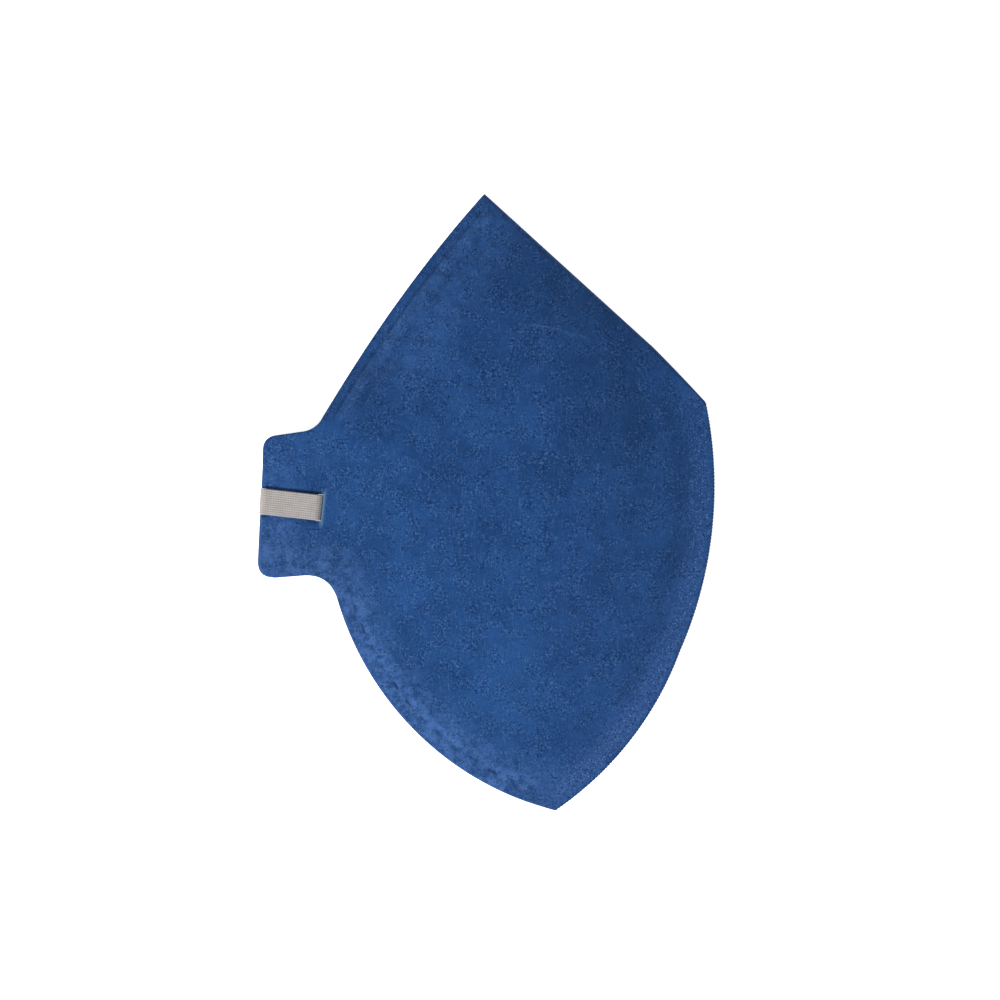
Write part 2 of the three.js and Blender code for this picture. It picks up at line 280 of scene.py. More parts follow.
def walls_height(place):
    """Both walls together: pressed thin in the seam."""
    inside = smooth((place.to_seam - 1 * MM) / WALL_RUN)
    return lerp(SEAM_THICKNESS, 2 * LAMINATE, inside)


def wall_height(place):
    return walls_height(place) / 2


def hollow_height(place):
    """From the far half's wall to the near half's."""
    loose = lerp(EDGE_GAP, CROWN_GAP, smooth(place.to_edge / CROWN_RUN))
    tied = 2 * STRAP_LEVEL + TOUCH
    gap = lerp(loose, tied, near_strap(place.points, STRAP_SLIT + 2 * MM, *TAB_DRAPE))
    lift = STRAP_LIFT * near_strap(place.points, STRAP_REACH, *LIFT_DRAPE)
    past_seam = place.to_seam - SEAM_WIDTH
    past_seam_share = 0.5 * opening(past_seam, SEAM_RUN) + 0.5 * smooth(past_seam / SEAM_RUN)
    past_seam_share *= smooth(0.4 + past_seam / (8 * MM))
    return (gap + lift) * opening(place.to_fold, FOLD_RUN) * past_seam_share * (1 - brow_hold(place))


def edge_drop(distance, radius):
    """How far a face turns in over a rounded edge."""
    inset = radius - np.clip(distance, 0, radius)
    return radius - np.sqrt(np.maximum(radius**2 - inset**2, 0))


def overlap(place):
    """The walls run into each other by this much where they are joined, at the fold and in the seam."""
    at_fold = 1 - smooth(place.to_fold / LAMINATE)
    in_seam = 1 - smooth((place.to_seam - SEAM_WIDTH) / (2 * MM))
    return WALL_OVERLAP * np.maximum(at_fold, in_seam)


def dash_phase(place):
    """From -0.5 to 0.5 along each repeat of the weld's dashes, 0 in the middle of a dash."""
    return (place.along_face / DASH_PITCH + DASH_SHIFT) % 1 - 0.5


def dashes(place):
    """The weld's dashes along the cheek: 1 in the middle of a dash."""
    phase = dash_phase(place)
    sway = 0.3 * MM * noise_at(place.points, 5 * MM, 73)
    lengthwise = 1 - smooth((abs(phase) * DASH_PITCH - DASH_LENGTH / 2 + 0.6 * MM) / (1.0 * MM))
    crosswise = np.exp(-(((place.to_face - DASH_INSET - sway) / DASH_WIDTH) ** 2))
    strength = 0.8 + 0.5 * noise_at(place.points, 9 * MM, 71)
    return lengthwise * crosswise * on_cheek(place) * np.clip(strength, 0.3, 1.2)


def on_cheek(place):
    """1 along the weld below the tab, and 0 on the tab and in the seam."""
    below_tab = smooth((-17 * MM - place.points[:, 1]) / (8 * MM))
    return below_tab * smooth((place.to_seam - SEAM_WIDTH) / (3 * MM))


def cheek_puff(place):
    """The cloth is drawn in along the line of dashes, and puffs up softly inside it and, less, outside."""
    beside_dash = 0.65 + 0.35 * np.cos(2 * np.pi * dash_phase(place))
    inner = np.exp(-(((place.to_face - DASH_INSET - 1.9 * MM) / (1.3 * MM)) ** 2))
    rim = np.exp(-(((place.to_face - 1.8 * MM) / (1.1 * MM)) ** 2))
    return (0.3 * inner * beside_dash + 0.12 * rim) * on_cheek(place) * MM


def margin(place):
    """1 along the cheek and round the tab, where the cloth is lumpy and its colour is paler, partly for
    fibres that stand up and partly as painted light; 0 inside.
    """
    beside = 1 - smooth((place.to_face - 3 * MM) / (11 * MM))
    below_brow = smooth((22 * MM - place.points[:, 1]) / (30 * MM))
    return beside * below_brow * smooth((place.to_seam - 3 * MM) / (9 * MM))


def margin_lumps(place):
    lumps = 0.19 * noise_at(place.points, 3.1 * MM, 81) + 0.18 * noise_at(place.points, 1.5 * MM, 83)
    return lumps * margin(place) * calm(place.points) * MM


def seam_bosses(place):
    """The weld's rows of small bosses along the seam, every other one set over, and unevenly marked."""
    bosses = np.zeros(len(place.points))
    banded = np.flatnonzero(place.to_seam < SEAM_WIDTH + 1.5 * MM)
    points, to_seam, along = place.points[banded], place.to_seam[banded], place.along_seam[banded]
    to_end = np.minimum(along, SEAM_LENGTH - along)
    band = smooth((to_seam - 0.9 * MM) / (0.6 * MM))
    band *= 1 - smooth((to_seam - SEAM_WIDTH + 1.5 * MM) / (3 * MM))
    row = (to_seam + DOT_SWAY * noise_at(points, 1.4 * MM, 91)) / (DOT_PITCH * 0.87)
    column = (along + DOT_SWAY * noise_at(points, 1.4 * MM, 93)) / DOT_PITCH + 0.5 * (np.floor(row) % 2)
    boss = np.sin(np.pi * (row % 1)) * np.sin(np.pi * (column % 1))
    strength = np.clip(0.65 + 1.3 * noise_at(points, 1.0 * MM, 95), 0, 1.3)
    bosses[banded] = boss**2 * band * strength * smooth((to_end - 1 * MM) / (3 * MM))
    return bosses


def calm(points):
    """0 where the strap holds the cloth flat, rising to 1 away from it."""
    return 1 - near_strap(points, STRAP_SLIT + 1 * MM, 4 * MM, 4 * MM)


def cloth_waves(place, seed):
    """Soft unevenness of the lying cloth, less where it is welded, folded or strapped down."""
    points = place.points
    broad = 0.3 * noise_at(points, 26 * MM, seed) + 0.17 * noise_at(points, 11 * MM, seed + 3)
    fine = 0.16 * noise_at(points, 4.2 * MM, seed + 7) + 0.09 * noise_at(points, 1.9 * MM, seed + 9)
    free = smooth(place.to_seam / (16 * MM)) * smooth(place.to_fold / (9 * MM))
    pressed = 0.35 + 0.65 * smooth((place.to_seam - SEAM_WIDTH) / (3 * MM))
    return (broad * free + fine * pressed) * calm(points) * MM


def underside_waves(place):
    """As cloth_waves(), but flat where the cloth rests on what is under it."""
    points = place.points
    broad = 0.3 * noise_at(points, 24 * MM, 51)
    fine = 0.07 * noise_at(points, 4.2 * MM, 57) + 0.04 * noise_at(points, 1.9 * MM, 59)
    return np.maximum(0, broad * smooth(place.to_seam / (16 * MM)) + fine) * calm(points) * MM


def over_clip(place):
    """1 over the nose clip and beside it, along the brow."""
    up = smooth((place.points[:, 1] - CLIP_END + 2 * MM) / (18 * MM)) * smooth(place.to_face / (3 * MM))
    return up * (1 - smooth((place.to_face - 10 * MM) / (12 * MM)))


def clip_ridge(place):
    """1 on top of the clip's channel, and 0 in the welds beside it."""
    rise = smooth((place.to_face - CLIP_INSET) / (0.5 * MM))
    fall = 1 - smooth((place.to_face - CLIP_INSET - CLIP_WIDTH + 1.8 * MM) / (2.2 * MM))
    return rise * fall * on_brow(place)


def clip_welds(place):
    """1 in the line of weld on either side of the clip."""
    outer = np.exp(-(((place.to_face - CLIP_INSET + 0.15 * MM) / (0.3 * MM)) ** 2))
    inner = np.exp(-(((place.to_face - CLIP_INSET - CLIP_WIDTH) / (0.7 * MM)) ** 2))
    uneven = np.clip(0.5 + 1.2 * noise_at(place.points, 4 * MM, 41), 0, 1)
    return np.maximum(outer * (0.8 + 0.4 * uneven), 0.75 * inner * uneven) * on_brow(place)


def on_brow(place):
    """1 where the clip runs, and 0 below it and at the fold."""
    up = smooth((place.points[:, 1] - CLIP_END) / (5 * MM))
    return up * smooth((place.to_fold - 1.5 * MM) / (2.5 * MM))


def brow_relief(place):
    """The clip's channel stands up between its welds, and the cloth over it and beside it is bumpy."""
    points = place.points
    bumps = 0.4 * noise_at(points, 6 * MM, 31) + 0.4 * noise_at(points, 2.8 * MM, 37)
    puff = 0.46 + 0.08 * noise_at(points, 3.4 * MM, 39)
    channel = puff * clip_ridge(place) - 0.22 * clip_welds(place)
    crease = np.exp(-((distance_along(points, CREASE)[0] / (0.4 * MM)) ** 2))
    return (over_clip(place) * (0.1 + bumps) + channel + 0.1 * crease) * MM


def brow_hold(place):
    """The nose clip keeps the two halves closer together along the brow."""
    up = smooth((place.points[:, 1] - 18 * MM) / (22 * MM))
    return 0.7 * up * (1 - smooth(place.to_edge / (20 * MM)))


def strap_dent(place):
    """The strap's two edges sink into the tab."""
    along, across = in_strap_frame(place.points)
    beside = np.exp(-(((abs(across) - STRAP_WIDTH / 2 - 0.1 * MM) / (0.45 * MM)) ** 2))
    return -0.4 * MM * beside * (1 - smooth((along - STRAP_SLIT + 1 * MM) / (1.5 * MM)))


def slit_lip(place):
    """The cloth stands up a little on the inner side of the strap's slit."""
    along, across = in_strap_frame(place.points)
    beside = along - STRAP_SLIT - STRAP_THICKNESS / 2
    lip = np.exp(-(((beside - 0.35 * MM) / (0.5 * MM)) ** 2)) * (beside > -0.1 * MM)
    return 0.3 * MM * lip * (1 - smooth((abs(across) - 3.4 * MM) / (2.4 * MM)))


# --- Meshes ---


def hexagonal_grid(rim, step):
    low, high = rim.min(0), rim.max(0)
    rows = np.arange(low[1], high[1], step * math.sqrt(3) / 2)
    columns = np.arange(low[0], high[0], step)
    x, y = np.meshgrid(columns, rows)
    x = x + (np.arange(len(rows)) % 2)[:, None] * step / 2
    return np.column_stack([x.ravel(), y.ravel()])


def inside(points, rim):
    """Whether each point lies inside a closed rim: it has an odd number of the rim's sides to its right."""
    order = np.argsort(points[:, 1])
    x, y = points[order].T
    odd = np.zeros(len(points), bool)
    for (x0, y0), (x1, y1) in zip(rim, np.roll(rim, -1, axis=0)):
        first, last = np.searchsorted(y, sorted((y0, y1)))
        if first < last:
            level = slice(first, last)
            odd[level] ^= x[level] < x0 + (y[level] - y0) * (x1 - x0) / (y1 - y0)
    result = np.empty(len(points), bool)
    result[order] = odd
    return result


def scattered(rim, coarse, fine, is_fine):
    """Inner points for a triangulation: a coarse grid, and a finer one where is_fine says so."""
    clear = 0.6  # of a step, from the rim
    picked = []
    for step, wanted in ((coarse, False), (fine, True)):
        grid = hexagonal_grid(rim, step)
        grid = grid[inside(grid, rim)]
        away = distance_along(grid, np.vstack([rim, rim[:1]]))[0] > clear * min(step, 0.5 * MM)
        grid = grid[away]
        picked.append(grid[is_fine(grid) == wanted])
    return np.vstack(picked)


def triangulate(rim, points):
    """The triangles that fill a rim through the given points, as vertices and faces. The rim comes first."""
    coordinates = [Vector(p) for p in np.vstack([rim, points])]
    result = delaunay_2d_cdt(coordinates, [], [list(range(len(rim)))], 1, 1e-9)
    vertices = np.array([v[:] for v in result[0]])
    faces = np.array(result[2])
    origin = [min(sources) if sources else len(coordinates) for sources in result[3]]
    order = np.argsort(origin, kind="stable")
    place_of = np.empty(len(order), int)
    place_of[order] = np.arange(len(order))
    faces = place_of[faces]
    a, b, c = (vertices[order][faces[:, k]] for k in range(3))
    turned = np.cross(b - a, c - a) < 0
    faces[turned] = faces[turned][:, ::-1]
    return vertices[order], faces


OUTER, LINING, FILTER = 0, 1, 2  # the shell's material slots

# The cut edge from one face of a wall to the other: share of the height, how far it stands in, and its ply.
EDGE_ROWS = [(0.3, 0, OUTER), (0.36, 0.14 * MM, OUTER), (0.64, 0.14 * MM, FILTER), (0.7, 0, LINING)]


def inward(rim):
    """The direction into a rim that runs round its area anticlockwise."""
    along = np.roll(rim, -2, axis=0) - np.roll(rim, 2, axis=0)
    along /= np.hypot(*along.T)[:, None]
    return np.column_stack([-along[:, 1], along[:, 0]])


def wall_mesh(name, rim, free, outer_face, lining_face):
    """A closed body between two faces over one rim, each given as points, triangles and heights.

    The rim's first `free` points are a cut edge that shows its plies. The rest is joined to the other wall.
    """
    count = len(rim)
    is_free = np.arange(count) < free
    parts = [np.column_stack([points, heights]) for points, _, heights in (outer_face, lining_face)]
    outer_z, lining_z = outer_face[2][:count], lining_face[2][:count]
    loops = [np.arange(count)]
    used = len(parts[0]) + len(parts[1])
    for share, inset, _ in EDGE_ROWS:
        ply_rim = rim + inward(rim) * inset * is_free[:, None]
        parts.append(np.column_stack([ply_rim, lerp(outer_z, lining_z, share)]))
        loops.append(used + np.arange(count))
        used += count
    loops.append(len(parts[0]) + np.arange(count))
    plies = [row[2] for row in EDGE_ROWS] + [LINING]
    faces = [outer_face[1], lining_face[1][:, ::-1] + len(parts[0])]
    slots = [np.full(len(outer_face[1]), OUTER), np.full(len(lining_face[1]), LINING)]
    for above, below, ply in zip(loops, loops[1:], plies):
        next_above, next_below = np.roll(above, -1), np.roll(below, -1)
        faces.append(np.column_stack([below, next_below, next_above]))
        faces.append(np.column_stack([below, next_above, above]))
        slots.append(np.tile(np.where(is_free, ply, OUTER), 2))
    faces = np.vstack(faces)
    if outer_z.mean() < lining_z.mean():
        faces = faces[:, ::-1]
    mesh = bpy.data.meshes.new(name)
    mesh.from_pydata(np.vstack(parts).tolist(), [], faces.tolist())
    mesh.polygons.foreach_set("material_index", np.concatenate(slots).astype(np.int32))
    return add_object(name, mesh)


def add_object(name, mesh):
    piece = bpy.data.objects.new(name, mesh)
    bpy.context.scene.collection.objects.link(piece)
    return piece


def nowhere(points):
    return np.zeros(len(points), bool)


def near_slit(points):
    along, across = in_strap_frame(points)
    return (abs(along - STRAP_SLIT) < 3 * MM) & (abs(across) < 7 * MM)


def serrated(rim):
    """The knife that trims the seam leaves it finely toothed."""
    result = rim.copy()
    to_seam = distance_along(rim, SEAM)[0]
    teeth = np.flatnonzero(to_seam < 0.01 * MM)[::3]
    result[teeth] += inward(rim)[teeth] * SEAM_TEETH
    return result


def near_wall():
    def is_fine(points):
        place = Place(points, NEAR_FACE)
        at_dashes = (abs(place.to_face - DASH_INSET - 0.5 * MM) < 1.8 * MM) & (on_cheek(place) > 0)
        to_clip = abs(place.to_face - CLIP_INSET - CLIP_WIDTH / 2)
        at_clip = (to_clip < CLIP_WIDTH / 2 + 0.6 * MM) & (on_brow(place) > 0)
        in_seam = place.to_seam < SEAM_WIDTH + 1 * MM
        at_rim = np.minimum(place.to_face, place.to_fold) < 1.3 * MM
        at_crease = distance_along(points, CREASE)[0] < 0.8 * MM
        return at_dashes | at_clip | in_seam | at_rim | at_crease | near_slit(points)

    rim = serrated(NEAR_RIM)
    points, faces = triangulate(rim, scattered(rim, *NEAR_OUTER_STEPS, is_fine))
    place = Place(points, NEAR_FACE)
    heights = 2 * wall_height(place) + hollow_height(place)
    heights -= edge_drop(place.to_fold, wall_height(place) - 0.1 * MM)
    heights -= edge_drop(np.minimum(place.to_face, place.to_seam), EDGE_ROUND)
    heights += (
        cloth_waves(place, 1) + brow_relief(place) + DOT_HEIGHT * seam_bosses(place) + margin_lumps(place)
    )
    heights += slit_lip(place) + strap_dent(place) + cheek_puff(place) - DASH_DEPTH * dashes(place)
    outer_face = (points, faces, heights)

    points, faces = triangulate(rim, scattered(rim, *NEAR_LINING_STEPS, nowhere))
    place = Place(points, NEAR_FACE)
    heights = wall_height(place) + hollow_height(place) - overlap(place) + cloth_waves(place, 1)
    return wall_mesh("near_wall", rim, len(NEAR_FACE) - 1, outer_face, (points, faces, heights))


def far_wall():
    def is_fine(points):
        place = Place(points, FAR_FACE)
        at_dashes = (abs(place.to_face - DASH_INSET) < 1.2 * MM) & (on_cheek(place) > 0)
        at_rim = np.minimum(place.to_face, place.to_fold) < 1.3 * MM
        return at_dashes | at_rim | near_slit(points)

    rim = serrated(FAR_RIM)
    points, faces = triangulate(rim, scattered(rim, *FAR_OUTER_STEPS, is_fine))
    place = Place(points, FAR_FACE)
    heights = floor_height(place) + edge_drop(place.to_fold, wall_height(place) - 0.1 * MM)
    heights += edge_drop(np.minimum(place.to_face, place.to_seam), EDGE_ROUND)
    heights += underside_waves(place) + DASH_DEPTH * dashes(place)
    outer_face = (points, faces, heights)

    def at_face(points):
        return distance_along(points, FAR_FACE)[0] < 3 * MM

    points, faces = triangulate(rim, scattered(rim, *FAR_LINING_STEPS, at_face))
    place = Place(points, FAR_FACE)
    heights = floor_height(place) + wall_height(place) + overlap(place) + underside_waves(place)
    heights -= edge_drop(place.to_face, EDGE_ROUND) + DASH_DEPTH * dashes(place)
    return wall_mesh("far_wall", rim, len(FAR_FACE) - 1, outer_face, (points, faces, heights))


def cutter(name, outline):
    """A straight-sided body through the whole mask, over an outline in the strap's frame."""
    count = len(outline)
    vertices = [(*p, z) for z in (CUTTER_LOW, CUTTER_TOP) for p in from_strap_frame(outline)]
    sides = [(k, (k + 1) % count, (k + 1) % count + count, k + count) for k in range(count)]
    mesh = bpy.data.meshes.new(name)
    mesh.from_pydata(vertices, [], [tuple(range(count))[::-1], tuple(range(count, 2 * count)), *sides])
    mesh.polygons.foreach_set("material_index", np.full(count + 2, FILTER, np.int32))
    return add_object(name, mesh)


def from_strap_frame(outline):
    cos, sin = math.cos(STRAP_ANGLE), math.sin(STRAP_ANGLE)
    return [STRAP_START + np.array([cos * a - sin * b, sin * a + cos * b]) for a, b in outline]


def slit_cutter():
    """A slit just wide enough for the strap's turn, and a fine cut beyond it at both ends."""
    half = STRAP_WIDTH / 2 + 0.12 * MM
    left = STRAP_SLIT - STRAP_THICKNESS / 2 - 0.5 * MM
    right = STRAP_SLIT + STRAP_THICKNESS / 2 + 0.16 * MM
    fine = right - 0.16 * MM
    low, high = -half - 1.2 * MM, half + 2.4 * MM
    slot = [(fine, half), (left, half), (left, -half), (fine, -half)]
    return cutter("slit_cutter", [(fine, low), (right, low), (right, high), (fine, high), *slot])


def notch_cutter():
    """A notch that the strap sits in where it wraps round the tab's edge."""
    depth = STRAP_THICKNESS + TOUCH + WRAP_BEND / 2
    half = STRAP_WIDTH / 2 + 0.05 * MM
    skew = half * WRAP_SKEW
    outside = -4 * MM
    outline = [(outside, -half), (depth + skew, -half), (depth - skew, half), (outside, half)]
    return cutter("notch_cutter", outline)


def apply_boolean(target, other, operation):
    modifier = target.modifiers.new("join", "BOOLEAN")
    modifier.object = other
    modifier.operation = operation
    modifier.solver = "MANIFOLD"
    bpy.context.view_layer.update()
    evaluated = target.evaluated_get(bpy.context.evaluated_depsgraph_get())
    mesh = bpy.data.meshes.new_from_object(evaluated)
    target.modifiers.remove(modifier)
    target.data = mesh
    bpy.data.objects.remove(other)


def drop_slivers(mesh):
    """Takes out the faces without area and the edges without length that the cuts leave."""
    body = bmesh.new()
    body.from_mesh(mesh)
    bmesh.ops.dissolve_degenerate(body, dist=SLIVER, edges=body.edges)
    body.to_mesh(mesh)
    body.free()


def make_shell():
    shell = near_wall()
    for slot in (outer_cloth, lining_cloth, filter_cloth):
        shell.data.materials.append(slot)
    apply_boolean(shell, far_wall(), "UNION")
    apply_boolean(shell, slit_cutter(), "DIFFERENCE")
    apply_boolean(shell, notch_cutter(), "DIFFERENCE")
    drop_slivers(shell.data)
    shell.name = "folded_cloth"
    shell.data.shade_smooth()
    shell.data.set_sharp_from_angle(angle=math.radians(55))
    return shell


# --- The strap ---


def strap_route():
    """The middle of the strap's thickness, from above the near half's lining to inside the hollow again.

    It is given as steps of (distance along, height) in the strap's own frame.
    """
    q = math.pi / 2
    middle = STRAP_THICKNESS / 2
    doubled = middle + STRAP_LEVEL
    far_end = STRAP_LIFT + LAMINATE + TOUCH + middle
    near_end = far_end + STRAP_LEVEL
    over = near_end + 2 * (TOUCH + middle) + LAMINATE
    loop = (over - near_end) / 2
    corner, bend = WRAP_BEND, SLIT_BEND

    def turn(x, y, radius, first, last):
        angles = np.linspace(first, last, 9)
        return np.column_stack([x + radius * np.cos(angles), y + radius * np.sin(angles)])

    corners = [
        [(STRAP_SLIT - STRAP_END, near_end)],
        turn(STRAP_SLIT - loop, near_end + loop, loop, -q, q),
        turn(middle + corner, over - corner, corner, q, 2 * q),
        turn(middle + corner, middle + corner, corner, 2 * q, 3 * q),
        turn(STRAP_REACH, (middle + doubled) / 2, STRAP_LEVEL / 2, -q, q),
        turn(STRAP_SLIT + bend, doubled + bend, bend, 3 * q, 2 * q),
        turn(STRAP_SLIT - bend, far_end - bend, bend, 0, q),
        [(STRAP_SLIT - STRAP_END, far_end)],
    ]
    return np.vstack(corners)


def evenly(route, step):
    """The route again with points no further than `step` apart."""
    pieces = []
    for start, end in zip(route, route[1:]):
        count = max(1, math.ceil(math.dist(start, end) / step))
        pieces.append(start + (end - start) * np.linspace(0, 1, count, endpoint=False)[:, None])
    return np.vstack([*pieces, route[-1:]])


def make_strap():
    """A flat knitted elastic with lengthwise ribs and a thicker edge on each side."""
    route = evenly(strap_route(), STRAP_STEP)
    steps = np.gradient(route, axis=0)
    steps /= np.hypot(*steps.T)[:, None]
    normals = np.column_stack([-steps[:, 1], steps[:, 0]])
    walked = np.concatenate([[0], np.cumsum(np.hypot(*np.diff(route, axis=0).T))])

    across = np.linspace(-1, 1, STRAP_RIBS * POINTS_PER_RIB + 1)
    to_side = (1 - abs(across)) * STRAP_WIDTH / 2
    valley = 0.5 - 0.5 * np.cos(np.pi * STRAP_RIBS * (across + 1))
    half_depth = STRAP_THICKNESS / 2 - edge_drop(to_side, STRAP_ROUND)
    half_depth -= RIB_DEPTH * (1 - valley) * smooth(to_side / (0.5 * MM))
    profile_across = np.concatenate([across, across[::-1]])
    profile_out = np.concatenate([half_depth, -half_depth[::-1]])

    rows, count = len(route), len(profile_across)
    along = route[:, :1] + normals[:, :1] * profile_out
    height = route[:, 1:] + normals[:, 1:] * profile_out
    sideways = np.tile(profile_across * STRAP_WIDTH / 2, (rows, 1))
    cos, sin = math.cos(STRAP_ANGLE), math.sin(STRAP_ANGLE)
    along = along - sideways * WRAP_SKEW * (1 - smooth(along / (10 * MM)))
    x = STRAP_START[0] + cos * along - sin * sideways
    y = STRAP_START[1] + sin * along + cos * sideways
    vertices = np.stack([x, y, height], axis=2).reshape(-1, 3)

    here = np.arange(rows * count).reshape(rows, count)
    beside = np.roll(here, -1, axis=1)
    quads = np.stack([here[:-1], here[1:], beside[1:], beside[:-1]], axis=2).reshape(-1, 4)
    faces = [*quads.tolist(), here[0].tolist(), here[-1][::-1].tolist()]
    mesh = bpy.data.meshes.new("head_elastic")
    mesh.from_pydata(vertices.tolist(), [], faces)
    mesh.shade_smooth()
    mesh.set_sharp_from_angle(angle=math.radians(60))
    mapped = np.column_stack([np.tile(profile_across * STRAP_WIDTH / 2, rows), np.repeat(walked, count)])
    corners = np.empty(len(mesh.loops), np.int32)
    mesh.loops.foreach_get("vertex_index", corners)
    mesh.uv_layers.new(name="knit").data.foreach_set("uv", mapped[corners].ravel())
    mesh.materials.append(elastic_knit)
    return add_object("head_elastic", mesh)


# --- Materials ---

CLOTH_DARK = (0.0050, 0.0285, 0.099)
CLOTH_LIGHT = (0.0098, 0.0445, 0.144)
CLOTH_FUZZ = (0.05, 0.105, 0.225)
CLOTH_DEEP = (0.002, 0.0142, 0.061)
# Paler cloth for the weld's tint and for fibres that stand up, and painted light on the margin.
CLOTH_PALE_AND_LIT = (0.032, 0.081, 0.219)
# Pale cut fibres at the slit, also a painted highlight on its lip and on the clip's ridge.
CUT_FIBRES_AND_HIGHLIGHT = (0.07, 0.15, 0.28)
# The weld's pressed film, also used as painted shade along the rim.
WELD_FILM_AND_RIM_SHADE = (0.013, 0.036, 0.12)
WELD_TIP = (0.075, 0.13, 0.3)
LINING_DARK = (0.0075, 0.034, 0.112)
LINING_LIGHT = (0.011, 0.044, 0.138)
FILTER_WHITE = (0.72, 0.75, 0.78)
FILTER_SHADE = (0.5, 0.54, 0.6)
ELASTIC_LIGHT = (0.266, 0.247, 0.238)
ELASTIC_SHADE = (0.232, 0.215, 0.207)
ELASTIC_DEEP = (0.178, 0.161, 0.152)


class Material:
    """A node material under construction."""

    def __init__(self, name, roughness, specular, sheen, sheen_roughness):
        self.material = bpy.data.materials.new(name)
        self.material.use_nodes = True
        self.nodes = self.material.node_tree.nodes
        self.links = self.material.node_tree.links
        self.shader = self.nodes["Principled BSDF"]
        self.shader.inputs["Roughness"].default_value = roughness
        self.shader.inputs["Specular IOR Level"].default_value = specular
        self.shader.inputs["Sheen Weight"].default_value = sheen
        self.shader.inputs["Sheen Roughness"].default_value = sheen_roughness

    def put(self, node, socket, value):
        target = node.inputs[socket]
        if isinstance(value, bpy.types.NodeSocket):
            self.links.new(value, target)
        else:
            target.default_value = value

    def math(self, operation, a, b=0.0, c=0.0):
        node = self.nodes.new("ShaderNodeMath")
        node.operation = operation
        for index, value in enumerate((a, b, c)):
            self.put(node, index, value)
        return node.outputs[0]

    def position(self, stretch=(1, 1, 1), turn=0):
        coordinates = self.nodes.new("ShaderNodeTexCoord")
        mapping = self.nodes.new("ShaderNodeMapping")
        mapping.inputs["Scale"].default_value = stretch
        mapping.inputs["Rotation"].default_value = (0, 0, turn)
        self.links.new(coordinates.outputs["Object"], mapping.inputs["Vector"])
        return mapping.outputs[0]

    def noise(self, size, detail=2, roughness=0.5, vector=None):
        """Noise from 0 to 1 with features of about `size`."""
        node = self.nodes.new("ShaderNodeTexNoise")
        node.inputs["Scale"].default_value = 1 / size
        node.inputs["Detail"].default_value = detail
        node.inputs["Roughness"].default_value = roughness
        self.links.new(vector or self.position(), node.inputs["Vector"])
        return node.outputs["Fac"]

    def ramp(self, value, low, high, out_low=0.0, out_high=1.0):
        node = self.nodes.new("ShaderNodeMapRange")
        node.interpolation_type = "SMOOTHSTEP"
        for socket, given in enumerate((value, low, high, out_low, out_high)):
            self.put(node, socket, given)
        return node.outputs[0]

    def mix(self, share, a, b):
        node = self.nodes.new("ShaderNodeMix")
        node.data_type = "RGBA"
        for socket, value in ((0, share), (6, a), (7, b)):
            self.put(node, socket, value)
        return node.outputs[2]

    def attribute(self, name):
        node = self.nodes.new("ShaderNodeAttribute")
        node.attribute_name = name
        return node.outputs["Fac"]

    def bump(self, height, distance):
        node = self.nodes.new("ShaderNodeBump")
        node.inputs["Distance"].default_value = distance
        self.links.new(height, node.inputs["Height"])
        return node.outputs[0]

    def finish(self, colour, normal, roughness=None):
        self.links.new(colour, self.shader.inputs["Base Color"])
        self.links.new(normal, self.shader.inputs["Normal"])
        if roughness is not None:
            self.links.new(roughness, self.shader.inputs["Roughness"])
        return self.material


def colour(red, green, blue):
    return (red, green, blue, 1)


def fibres(m, size):
    """Fine crossing strokes, such as the filaments of a spunbonded web show."""
    total = None
    for turn in (0.3, 1.35, 2.4):
        streaks = m.noise(size, 1, 0.5, m.position((1, 0.09, 1), turn))
        total = streaks if total is None else m.math("MAXIMUM", total, streaks)
    return total


